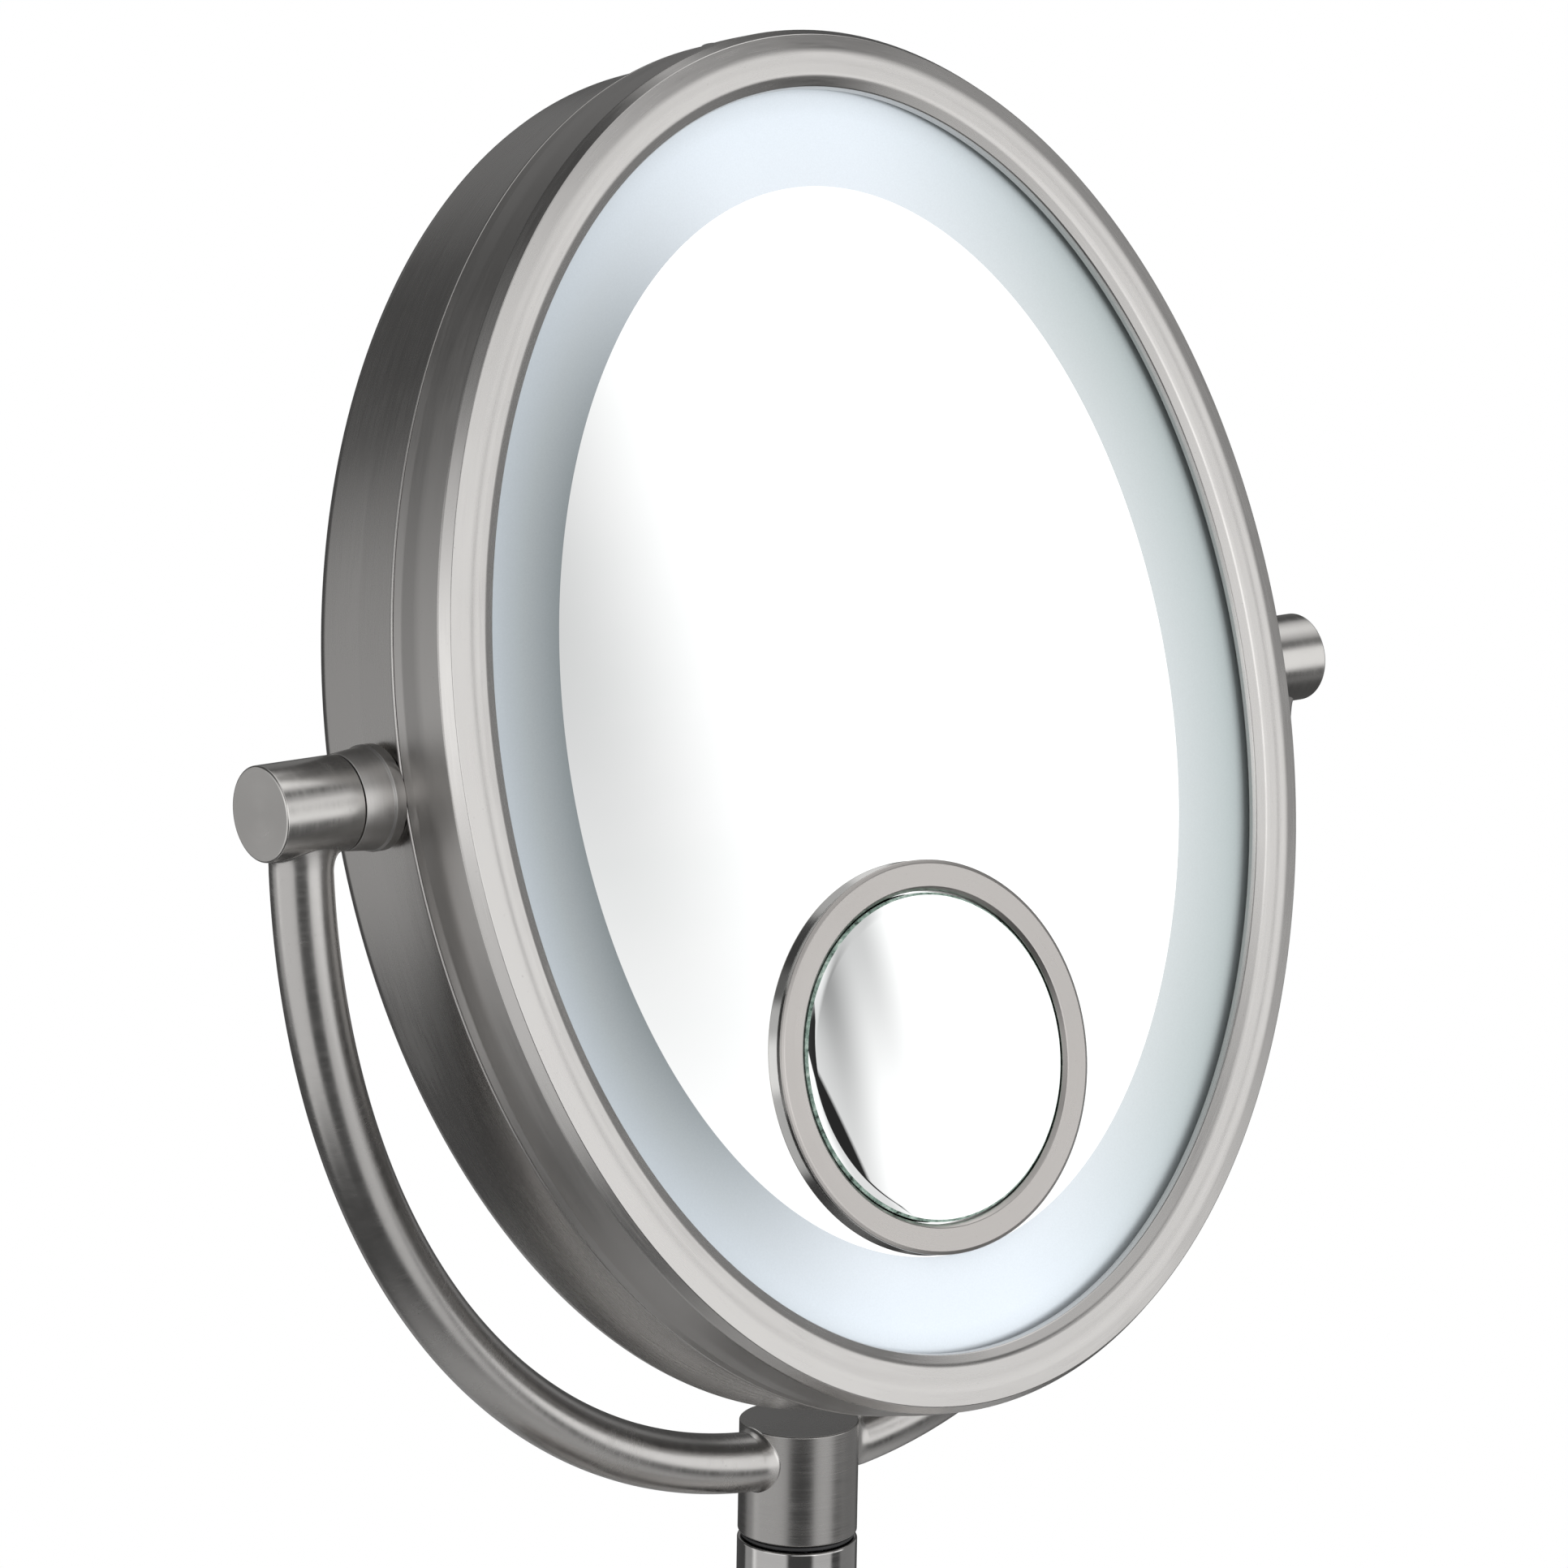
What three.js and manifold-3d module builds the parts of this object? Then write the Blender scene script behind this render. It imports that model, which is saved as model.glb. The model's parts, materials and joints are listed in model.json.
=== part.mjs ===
// A lighted vanity mirror. An oval mirror head tilts in a U-shaped yoke, and the yoke swivels on
// the post of a round weighted base. Millimetres, +Z up. The mirror faces -Y, and the origin is
// the centre of the foot pad's underside. The head is drawn in its own frame, with its tilt axis
// along X through the origin, and it leans back by HEAD_TILT when the mirror stands ready for use.
import * as THREE from 'three';
import { mergeVertices } from 'three/addons/utils/BufferGeometryUtils.js';
import Module from 'manifold-3d';

const wasm = await Module();
wasm.setup();

// Whole object
const TILT_AXIS_HEIGHT = 275;
const HEAD_TILT = 15;
const GAP = 0.3;

// Oval head: half sizes of the front shell's outline, and depths in front of the tilt axis
const HEAD_HALF_WIDTH = 110.4;
const HEAD_HALF_HEIGHT = 142;
const FACE_DEPTH = 28.2;
const LIP_DEPTH = 24.4;
const GLASS_DEPTH = 22.7;
const GLASS_THICKNESS = 3;
const GLASS_BACK = GLASS_DEPTH - GLASS_THICKNESS;
const SEAM_DEPTH = 10.2;
const DRUM_BACK_DEPTH = -20.6;
const BEZEL_WIDTH = 12.6;
const FROST_HALF_WIDTH = 79.5;
const FROST_HALF_HEIGHT = 109.8;
const SHELL_THICKNESS = 1;
const LED_COUNT = 20;
const OVAL_SEGMENTS = 36;

// Spot mirror on the main glass
const SPOT_X = 0;
const SPOT_Z = -69.4;
const SPOT_RADIUS = 40.4;
const SPOT_CLEAR_RADIUS = 33.6;
const SPOT_HEIGHT = 2.5;

// Trunnions and yoke, measured out from the middle of the head along X
const BARREL_RADIUS = 9.525;
const BARREL_INNER = 119.6;
const BARREL_OUTER = 137.8;
const COLLAR_RADIUS = 10.6;
const PIN_RADIUS = 4;
const TUBE_RADIUS = 6.35;
const TUBE_BORE = 4.9;
const YOKE_HALF_WIDTH = 128.8;
const YOKE_DROP = 157.3;
const YOKE_SQUARENESS = 2.08;

// Post and base, heights above the table
const POST_RADIUS = 12.8;
const HUB_RADIUS = 12.7;
const HUB_TOP = TILT_AXIS_HEIGHT - 149;
const HUB_BOTTOM = TILT_AXIS_HEIGHT - 173.3;
const SEAM_GAP = 1.4;
const BASE_RADIUS = 80;
const BASE_TOP = 16;
const BASE_CROWN = 19.2;
const INLET_HEIGHT = 7.3;
const BUTTON_Y = -52;
const BUTTON_RADIUS = 6.5;

const rad = THREE.MathUtils.degToRad;

const finishes = {
  satinNickel: { color: 0x9d9a96, roughness: 0.34, metalness: 1 },
  polishedNickel: { color: 0x8f8c88, roughness: 0.18, metalness: 1 },
  spotNickel: { color: 0xbeb9b4, roughness: 0.3, metalness: 1 },
  zincSteel: { color: 0xb4b6b8, roughness: 0.45, metalness: 1 },
  castIron: { color: 0x3a3b3d, roughness: 0.8, metalness: 0.6 },
  mirror: { color: 0xf2f5f6, roughness: 0.03, metalness: 1 },
  opal: { color: 0xdfe6ee, roughness: 0.5, metalness: 0 },
  whitePaint: { color: 0xf4f4f2, roughness: 0.6, metalness: 0 },
  circuitBoard: { color: 0xe9ece8, roughness: 0.5, metalness: 0 },
  darkPlastic: { color: 0x26272a, roughness: 0.5, metalness: 0 },
  nylon: { color: 0x1d1e20, roughness: 0.6, metalness: 0 },
  rubber: { color: 0x202124, roughness: 0.9, metalness: 0 },
};

// ---- solids -------------------------------------------------------------------------------

// One closed mesh with shared vertices and no collapsed triangles.
function welded(geometry) {
  const bare = geometry.clone();
  bare.deleteAttribute('normal');
  bare.deleteAttribute('uv');
  const merged = mergeVertices(bare, 1e-4);
  const corners = merged.index.array;
  const kept = [];
  for (let i = 0; i < corners.length; i += 3) {
    const [a, b, c] = corners.subarray(i, i + 3);
    if (a !== b && b !== c && c !== a) {
      kept.push(a, b, c);
    }
  }
  merged.setIndex(kept);
  return merged;
}

function toSolid(geometry) {
  const { attributes, index } = welded(geometry);
  return new wasm.Manifold(new wasm.Mesh({
    numProp: 3,
    vertProperties: new Float32Array(attributes.position.array),
    triVerts: new Uint32Array(index.array),
  }));
}

function toGeometry(solid) {
  const mesh = solid.getMesh();
  const geometry = new THREE.BufferGeometry();
  geometry.setAttribute('position', new THREE.BufferAttribute(mesh.vertProperties, 3));
  geometry.setIndex(new THREE.BufferAttribute(mesh.triVerts, 1));
  geometry.computeVertexNormals();
  return geometry;
}

function cut(geometry, ...tools) {
  return toGeometry(tools.reduce((solid, tool) => solid.subtract(toSolid(tool)), toSolid(geometry)));
}

function join(geometry, ...others) {
  return toGeometry(others.reduce((solid, other) => solid.add(toSolid(other)), toSolid(geometry)));
}

// A round piece about Z. The profile is [radius, height] pairs, and it is closed on itself or,
// where it starts and ends at radius 0, on the axis.
function turned(profile, segments = 24) {
  const points = profile.map(([radius, height]) => new THREE.Vector2(radius, height));
  if (THREE.ShapeUtils.area(points) < 0) {
    points.reverse();
  }
  const onAxis = points[0].x === 0 && points[points.length - 1].x === 0;
  if (!onAxis) {
    points.push(points[0].clone());
  }
  return new THREE.LatheGeometry(points, segments).rotateX(Math.PI / 2);
}

function ring(innerRadius, outerRadius, bottom, top, segments = 24) {
  const corners = [[innerRadius, bottom], [outerRadius, bottom], [outerRadius, top], [innerRadius, top]];
  return turned(corners, segments);
}

function disc(radius, bottom, top, segments = 24) {
  return turned([[0, bottom], [radius, bottom], [radius, top], [0, top]], segments);
}

// Turns a piece made about Z so that its +Z end points outward along X, on either side.
function alongX(geometry, side) {
  return geometry.rotateY(side * Math.PI / 2);
}

// A point of the head's outline, moved outward by an offset.
function ovalPoint(angle, offset, halfWidth = HEAD_HALF_WIDTH, halfHeight = HEAD_HALF_HEIGHT) {
  const normal = new THREE.Vector2(halfHeight * Math.cos(angle), halfWidth * Math.sin(angle)).normalize();
  const point = new THREE.Vector2(halfWidth * Math.cos(angle), halfHeight * Math.sin(angle));
  return point.addScaledVector(normal, offset);
}

// A ring that follows the head's outline. The profile is [offset, depth] pairs: offset outward
// from the outline, depth towards the front.
function ovalRing(profile) {
  const reference = HEAD_HALF_HEIGHT;
  const lathe = turned(profile.map(([offset, depth]) => [reference + offset, depth]), OVAL_SEGMENTS);
  lathe.rotateX(Math.PI / 2);
  const position = lathe.attributes.position;
  for (let i = 0; i < position.count; i += 1) {
    const [x, y, z] = [position.getX(i), position.getY(i), position.getZ(i)];
    const point = ovalPoint(Math.atan2(z, x), Math.hypot(x, z) - reference);
    position.setXYZ(i, point.x, y, point.y);
  }
  return lathe;
}

function ovalPlate(outline, back, front) {
  const shape = new THREE.Shape(outline);
  const plate = new THREE.ExtrudeGeometry(shape, { depth: front - back, bevelEnabled: false });
  return plate.translate(0, 0, back).rotateX(Math.PI / 2);
}

function ovalOutline(offset, halfWidth, halfHeight) {
  return Array.from({ length: OVAL_SEGMENTS }, (unused, i) => (
    ovalPoint(i / OVAL_SEGMENTS * 2 * Math.PI, offset, halfWidth, halfHeight)
  ));
}

function hexNut(acrossFlats, boreRadius, bottom, top) {
  const size = acrossFlats / Math.sqrt(3);
  const shape = new THREE.Shape(Array.from({ length: 6 }, (unused, i) => (
    new THREE.Vector2(size * Math.cos(i * Math.PI / 3), size * Math.sin(i * Math.PI / 3))
  )));
  shape.holes.push(new THREE.Path().absarc(0, 0, boreRadius, 0, 2 * Math.PI, true));
  const depth = top - bottom;
  const nut = new THREE.ExtrudeGeometry(shape, { depth, curveSegments: 8, bevelEnabled: false });
  return nut.translate(0, 0, bottom);
}

// A pan-head screw with a cross recess. The head's underside is at height 0 and points down.
function panScrew(headRadius, headHeight, shankRadius, length) {
  const blank = turned([
    [0, -length], [shankRadius, -length], [shankRadius, 0], [headRadius, 0],
    [headRadius, headHeight * 0.55], [headRadius * 0.8, headHeight * 0.9], [0, headHeight],
  ], 12);
  const slots = [0, Math.PI / 2].map((turn) => (
    new THREE.BoxGeometry(headRadius * 1.15, headRadius * 0.24, headHeight)
      .rotateZ(turn)
      .translate(0, 0, headHeight)
  ));
  return cut(blank, ...slots);
}

// ---- base ---------------------------------------------------------------------------------

function baseCover() {
  const wall = 1.2;
  const skin = turned([
    [BASE_RADIUS, 0.7], [BASE_RADIUS, 11.5], [BASE_RADIUS - 1.4, 14.6], [BASE_RADIUS - 4.6, BASE_TOP],
    [30, BASE_TOP], [23, BASE_CROWN], [4, BASE_CROWN], [4, BASE_CROWN - wall],
    [22.6, BASE_CROWN - wall], [29.8, BASE_TOP - wall], [BASE_RADIUS - 5.2, BASE_TOP - wall],
    [BASE_RADIUS - wall, 11.3], [BASE_RADIUS - wall, 0.7],
  ], 44);
  const inletHole = disc(4.3, -10, 10, 16).rotateX(Math.PI / 2).translate(0, BASE_RADIUS, INLET_HEIGHT);
  const buttonHole = disc(BUTTON_RADIUS + 2 * GAP, 0, 30).translate(0, BUTTON_Y, 0);
  return cut(skin, inletHole, buttonHole);
}

function baseWeight() {
  const casting = turned([
    [9, 3.4], [72, 3.4], [72, 11.5], [70.5, 13], [24, 13], [20, 17.6], [4, 17.6], [4, 9.6], [9, 9.6],
  ], 32);
  const inletPocket = new THREE.BoxGeometry(14, 24, 30).translate(0, 68, INLET_HEIGHT);
  const switchPocket = new THREE.BoxGeometry(18, 18, 30).translate(0, BUTTON_Y, 15);
  return cut(casting, inletPocket, switchPocket);
}

// The low-voltage socket that lies in the base's rear rim, with its contact pin.
function powerInlet() {
  const shell = turned([
    [0, -14], [3.9, -14], [3.9, 0.5], [5.5, 0.5], [5.5, 1.3], [5, 1.7], [2.9, 1.7], [2.9, -10],
    [0.95, -10], [0.95, 0], [0, 0.6],
  ], 16);
  return shell.rotateX(-Math.PI / 2).translate(0, BASE_RADIUS, INLET_HEIGHT);
}

function powerButton() {
  const button = turned([
    [0, 14.2], [BUTTON_RADIUS - 2, 14.2], [BUTTON_RADIUS - 2, 14.7], [BUTTON_RADIUS, 14.7],
    [BUTTON_RADIUS, 18.6], [BUTTON_RADIUS - 0.7, 19.2], [0, 18.7],
  ]);
  return button.translate(0, BUTTON_Y, 0);
}

function buttonRing() {
  const bezel = turned([
    [BUTTON_RADIUS + GAP, BASE_TOP + GAP], [BUTTON_RADIUS + 3.5, BASE_TOP + GAP],
    [BUTTON_RADIUS + 3, BASE_TOP + 1.3], [BUTTON_RADIUS + GAP, BASE_TOP + 1.7],
  ]);
  return bezel.translate(0, BUTTON_Y, 0);
}

function basePieces() {
  const postBottom = BASE_CROWN + GAP;
  const postTop = HUB_BOTTOM - SEAM_GAP;
  return [
    ['foot_pad', disc(76, 0, 1.5, 32), finishes.rubber],
    ['base_plate', ring(10, 77.6, 1.8, 3.1, 32), finishes.zincSteel],
    ['base_weight', baseWeight(), finishes.castIron],
    ['base_cover', baseCover(), finishes.satinNickel],
    ['base_washer', ring(PIN_RADIUS - GAP, 8, 8, 9.3, 16), finishes.zincSteel],
    ['base_nut', hexNut(12, 3.4, 3.2, 7.7), finishes.zincSteel],
    ['tie_rod', disc(3, 2.2, postTop - 24, 16), finishes.zincSteel],
    ['power_inlet', powerInlet(), finishes.darkPlastic],
    ['switch_body', new THREE.BoxGeometry(13, 13, 7.6).translate(0, BUTTON_Y, 8.3), finishes.darkPlastic],
    ['button_ring', buttonRing(), finishes.satinNickel],
    ['post_foot_ring', turned([
      [POST_RADIUS + GAP, postBottom], [18.4, postBottom], [18.4, postBottom + 2.4],
      [17, postBottom + 4.6], [14.6, postBottom + 6], [POST_RADIUS + GAP, postBottom + 6],
    ], 32), finishes.satinNickel],
    ['lower_post', turned([
      [POST_RADIUS - 1.5, postBottom], [POST_RADIUS, postBottom], [POST_RADIUS, postTop - 0.4],
      [POST_RADIUS - 0.4, postTop], [POST_RADIUS - 1.5, postTop],
    ], 32), finishes.polishedNickel],
    ['swivel_spigot', turned([
      [3.4, postTop - 38], [11, postTop - 38], [11, postTop - 0.2], [6, postTop - 0.2], [6, HUB_BOTTOM + 5.5],
      [4.8, HUB_BOTTOM + 6.3], [4.8, HUB_BOTTOM + 10.7], [6, HUB_BOTTOM + 11.5], [6, HUB_BOTTOM + 16.5],
      [2.2, HUB_BOTTOM + 16.5], [2.2, postTop - 22], [3.4, postTop - 22],
    ], 20), finishes.zincSteel],
    ['swivel_washer', ring(6.3, 12.1, postTop + GAP, HUB_BOTTOM - GAP), finishes.nylon],
  ];
}

// ---- yoke ---------------------------------------------------------------------------------

// Half of the yoke's centre line, from the tilt axis down and round to the post.
class YokeArc extends THREE.Curve {
  constructor(side) {
    super();
    this.side = side;
  }

  getPoint(t, target = new THREE.Vector3()) {
    const angle = t * Math.PI / 2;
    const power = 2 / YOKE_SQUARENESS;
    const x = YOKE_HALF_WIDTH * Math.max(Math.cos(angle), 0) ** power;
    const z = TILT_AXIS_HEIGHT - YOKE_DROP * Math.sin(angle) ** power;
    return target.set(this.side * x, 0, z);
  }
}

function yokeArm(side) {
  const section = new THREE.Shape().absarc(0, 0, TUBE_RADIUS, 0, 2 * Math.PI, false);
  const bore = new THREE.Shape().absarc(0, 0, TUBE_BORE, 0, 2 * Math.PI, false);
  const tube = (shape, curveSegments) => new THREE.ExtrudeGeometry(shape, {
    steps: 18, curveSegments, bevelEnabled: false, extrudePath: new YokeArc(side),
  });
  const barrelTool = alongX(disc(BARREL_RADIUS + GAP, 100, 150), side).translate(0, 0, TILT_AXIS_HEIGHT);
  const hubTool = disc(HUB_RADIUS + GAP, HUB_BOTTOM - 20, HUB_TOP + 20, 32);
  return cut(tube(section, 7), tube(bore, 4), barrelTool, hubTool);
}

function barrel(side) {
  const blank = turned([
    [0, BARREL_OUTER], [BARREL_RADIUS - 0.7, BARREL_OUTER], [BARREL_RADIUS, BARREL_OUTER - 0.7],
    [BARREL_RADIUS, BARREL_INNER + 0.4], [BARREL_RADIUS - 0.4, BARREL_INNER],
    [PIN_RADIUS + GAP, BARREL_INNER], [PIN_RADIUS + GAP, BARREL_OUTER - 5], [0, BARREL_OUTER - 5],
  ]);
  return alongX(blank, side).translate(0, 0, TILT_AXIS_HEIGHT);
}

function yokeHub() {
  const blank = turned([
    [0, HUB_TOP], [HUB_RADIUS - 0.4, HUB_TOP], [HUB_RADIUS, HUB_TOP - 0.4], [HUB_RADIUS, HUB_BOTTOM + 0.4],
    [HUB_RADIUS - 0.4, HUB_BOTTOM], [6.3, HUB_BOTTOM], [6.3, HUB_BOTTOM + 17.3], [0, HUB_BOTTOM + 17.3],
  ], 32);
  const screwHole = disc(2.3, 0, 20, 16).rotateX(-Math.PI / 2).translate(0, 0, HUB_BOTTOM + 8.5);
  return cut(blank, screwHole);
}

// The grub screw that runs in the spigot's groove, so that the hub turns but can't lift off.
function swivelGrubScrew() {
  const blank = turned([[0, 5.2], [1.4, 5.2], [2, 5.9], [2, 12.1], [0, 12.1]], 16);
  const socket = new THREE.CylinderGeometry(1.1, 1.1, 4, 6).rotateX(Math.PI / 2).translate(0, 0, 12.1);
  return cut(blank, socket).rotateX(-Math.PI / 2).translate(0, 0, HUB_BOTTOM + 8.5);
}

function yokePieces() {
  const pieces = [
    ['yoke_hub', yokeHub(), finishes.satinNickel],
    ['swivel_grub_screw', swivelGrubScrew(), finishes.zincSteel],
  ];
  for (const [name, side] of [['left', -1], ['right', 1]]) {
    const washer = ring(PIN_RADIUS + GAP, 8.2, BARREL_INNER - 1.3, BARREL_INNER - GAP, 20);
    pieces.push(
      [`yoke_arm_${name}`, yokeArm(side), finishes.satinNickel],
      [`barrel_${name}`, barrel(side), finishes.satinNickel],
      [`friction_washer_${name}`, alongX(washer, side).translate(0, 0, TILT_AXIS_HEIGHT), finishes.nylon],
    );
  }
  return pieces;
}

// ---- head ---------------------------------------------------------------------------------

// The front shell: bezel face, rolled outer edge and the skirt that covers the drum's edge.
function frontBezel() {
  return ovalRing([
    [0, SEAM_DEPTH], [0, FACE_DEPTH - 3.3], [-0.5, FACE_DEPTH - 1.7], [-1.7, FACE_DEPTH - 0.9],
    [-8, FACE_DEPTH], [-10, FACE_DEPTH - 0.8], [-BEZEL_WIDTH, FACE_DEPTH - 2.4], [-BEZEL_WIDTH, LIP_DEPTH],
    [-11.4, LIP_DEPTH], [-9.6, FACE_DEPTH - 2], [-8, FACE_DEPTH - 1.2],
    [-SHELL_THICKNESS - 0.8, FACE_DEPTH - 2.4], [-SHELL_THICKNESS, FACE_DEPTH - 3.6],
    [-SHELL_THICKNESS, SEAM_DEPTH],
  ]);
}

// The drum behind the seam, with its rounded rear edge and the flange that the cover screws to.
function rearDrum() {
  const outer = -SHELL_THICKNESS - GAP;
  const inner = outer - 1.2;
  const back = DRUM_BACK_DEPTH;
  const pan = ovalRing([
    [outer, SEAM_DEPTH + 3.7], [outer, back + 5], [outer - 1.5, back + 1.5], [outer - 5, back],
    [-15, back], [-15, back + 1.2], [outer - 5.2, back + 1.2], [inner, back + 5], [inner, SEAM_DEPTH + 3.7],
  ]);
  const pinHoles = disc(PIN_RADIUS + GAP, -150, 150, 16).rotateY(Math.PI / 2);
  const screwHoles = disc(1.8, -150, 150, 12);
  return cut(pan, pinHoles, screwHoles);
}

function rearCover() {
  const rim = 11;
  const front = DRUM_BACK_DEPTH - GAP;
  const scale = (HEAD_HALF_WIDTH - rim) / (HEAD_HALF_HEIGHT - rim);
  const radius = HEAD_HALF_HEIGHT - rim;
  const dome = turned([
    [0, -front + 4], [radius * 0.6, -front + 3.4], [radius * 0.88, -front + 2.2], [radius, -front + 0.8],
    [radius, -front], [radius * 0.88, -front], [radius * 0.6, -front + 1.4], [0, -front + 2],
  ], OVAL_SEGMENTS);
  dome.scale(scale, 1, 1).rotateX(-Math.PI / 2);
  const holes = coverScrewPlaces().map(([x, z]) => (
    disc(1.9, 0, 40, 12).rotateX(-Math.PI / 2).translate(x, 0, z)
  ));
  return cut(dome, ...holes);
}

function coverScrewPlaces() {
  return [45, 135, 225, 315].map((angle) => {
    const point = ovalPoint(rad(angle), -14.2);
    return [point.x, point.y];
  });
}

// Light-emitting diodes stand on a ring-shaped board behind the frosted band.
function ledBoard() {
  const face = GLASS_BACK - 6.5;
  const board = ovalRing([[-26, face - 1.2], [-8, face - 1.2], [-8, face], [-26, face]]);
  const diodes = Array.from({ length: LED_COUNT }, (unused, i) => {
    const angle = (i + 0.5) / LED_COUNT * 2 * Math.PI;
    const point = ovalPoint(angle, -17);
    return new THREE.BoxGeometry(3.5, 1.8, 3.5).rotateY(-angle).translate(point.x, -face - 0.2, point.y);
  });
  return join(board, ...diodes);
}

function lightTray() {
  const back = GLASS_BACK - 9;
  const rim = GLASS_BACK - 2.7;
  return ovalRing([
    [-28.4, back], [-5, back], [-5, rim], [-6, rim],
    [-6, back + 1], [-27.4, back + 1], [-27.4, rim], [-28.4, rim],
  ]);
}

function frostRing() {
  const inner = FROST_HALF_WIDTH + 0.6 - HEAD_HALF_WIDTH;
  const back = GLASS_BACK - 2.3;
  return ovalRing([[inner, back], [-4, back], [-4, back + 2], [inner, back + 2]]);
}

// The spot mirror is a thin turned frame with a disc of glass in it, stuck to the main glass.
function spotPieces() {
  const back = GLASS_DEPTH + GAP;
  const face = GLASS_DEPTH + SPOT_HEIGHT;
  const frame = turned([
    [SPOT_CLEAR_RADIUS + 0.4, back], [SPOT_RADIUS - 0.2, back], [SPOT_RADIUS, back + 0.2],
    [SPOT_RADIUS, face - 0.8], [SPOT_RADIUS - 0.8, face], [SPOT_CLEAR_RADIUS + 1.4, face],
    [SPOT_CLEAR_RADIUS + 0.4, face - 1],
  ], 36);
  const onGlass = (geometry) => geometry.rotateX(Math.PI / 2).translate(SPOT_X, 0, SPOT_Z);
  return [
    ['spot_frame', onGlass(frame), finishes.spotNickel],
    ['spot_glass', onGlass(disc(SPOT_CLEAR_RADIUS, back + 0.8, face + 0.2, 36)), finishes.mirror],
    ['spot_adhesive_pad', onGlass(disc(SPOT_CLEAR_RADIUS - 1, back, back + 0.5, 28)), finishes.rubber],
  ];
}

function trunnionPieces() {
  const drum = HEAD_HALF_WIDTH - SHELL_THICKNESS - GAP;
  const pieces = [];
  for (const [name, side] of [['left', -1], ['right', 1]]) {
    const bore = PIN_RADIUS + GAP;
    const end = BARREL_INNER - 0.4;
    const collar = turned([
      [bore, drum + GAP], [8.2, drum + GAP], [8.2, drum + 3.3], [COLLAR_RADIUS - 0.4, drum + 3.3],
      [COLLAR_RADIUS, drum + 3.7], [COLLAR_RADIUS, drum + 5.7], [COLLAR_RADIUS - 0.3, drum + 6.2],
      [BARREL_RADIUS, end], [8.6, end], [8.6, end - 1.2], [bore, end - 1.2],
    ]);
    const pin = ring(2.4, PIN_RADIUS, 99, BARREL_OUTER - 5.6, 16);
    pieces.push(
      [`trunnion_collar_${name}`, alongX(collar, side), finishes.satinNickel],
      [`trunnion_pin_${name}`, alongX(pin, side), finishes.zincSteel],
      [`trunnion_nut_${name}`, alongX(hexNut(13, bore, 102, 107), side), finishes.zincSteel],
    );
  }
  return pieces;
}

function caseScrews() {
  const drum = HEAD_HALF_HEIGHT - SHELL_THICKNESS - GAP;
  const blockInner = drum - 12;
  const block = () => cut(
    new THREE.BoxGeometry(16, 12, 8).translate(0, 0, blockInner + 4),
    disc(1.8, blockInner - 1, blockInner + 9, 12),
  );
  const screw = () => panScrew(2.7, 3.2, 1.5, 11).translate(0, 0, drum + GAP);
  return [
    ['case_screw_top', screw(), finishes.zincSteel],
    ['case_screw_bottom', screw().rotateX(Math.PI), finishes.zincSteel],
    ['screw_block_top', block(), finishes.zincSteel],
    ['screw_block_bottom', block().rotateX(Math.PI), finishes.zincSteel],
  ];
}

function coverScrews() {
  const coverRim = 1.5;
  const seat = DRUM_BACK_DEPTH - GAP - coverRim;
  return coverScrewPlaces().map(([x, z], i) => [
    `cover_screw_${i + 1}`,
    panScrew(3, 1.9, 1.5, coverRim).translate(0, 0, -seat).rotateX(-Math.PI / 2).translate(x, 0, z),
    finishes.zincSteel,
  ]);
}

function headPieces() {
  const seal = GLASS_DEPTH + GAP;
  return [
    ['front_bezel', frontBezel(), finishes.satinNickel],
    ['glass_gasket', ovalRing([
      [-11, seal], [-5, seal], [-5, seal + 1.1], [-11, seal + 1.1],
    ]), finishes.rubber],
    ['mirror_glass', ovalPlate(ovalOutline(-3), GLASS_BACK, GLASS_DEPTH), finishes.mirror],
    ['mirror_backing', ovalPlate(
      ovalOutline(0, FROST_HALF_WIDTH, FROST_HALF_HEIGHT), GLASS_BACK - 2.3, GLASS_BACK - GAP,
    ), finishes.zincSteel],
    ['diffuser_ring', frostRing(), finishes.opal],
    ['led_board', ledBoard(), finishes.circuitBoard],
    ['light_tray', lightTray(), finishes.whitePaint],
    ['driver_board', new THREE.BoxGeometry(58, 9, 26).translate(0, 0.5, 28), finishes.darkPlastic],
    ['rear_drum', rearDrum(), finishes.satinNickel],
    ['rear_cover', rearCover(), finishes.satinNickel],
    ...trunnionPieces(),
    ...caseScrews(),
    ...coverScrews(),
    ...spotPieces(),
  ];
}

// ---- assembly -----------------------------------------------------------------------------

function assembled(pieces) {
  const group = new THREE.Group();
  for (const [name, geometry, finish] of pieces) {
    const mesh = new THREE.Mesh(geometry, new THREE.MeshStandardMaterial(finish));
    mesh.name = name;
    group.add(mesh);
  }
  return group;
}

const mirror = new THREE.Group();
const base = assembled(basePieces());
base.add(...assembled([['power_button', powerButton(), finishes.satinNickel]]).children);
const head = assembled(headPieces());
head.position.z = TILT_AXIS_HEIGHT;
head.rotation.x = -rad(HEAD_TILT);
mirror.add(base, assembled(yokePieces()), head);

export default mirror;
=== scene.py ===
"""The looks of a lighted vanity mirror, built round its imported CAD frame. Metres, +Z up.

The mirror faces -Y. Places and sizes come from the frame: the head is drawn in its own upright
frame (x across, u up, depth towards the glass side) and then leaned back as the CAD glass leans.
"""
import json
import math

import bpy
import bmesh
from mathutils import Matrix, Vector


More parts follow.
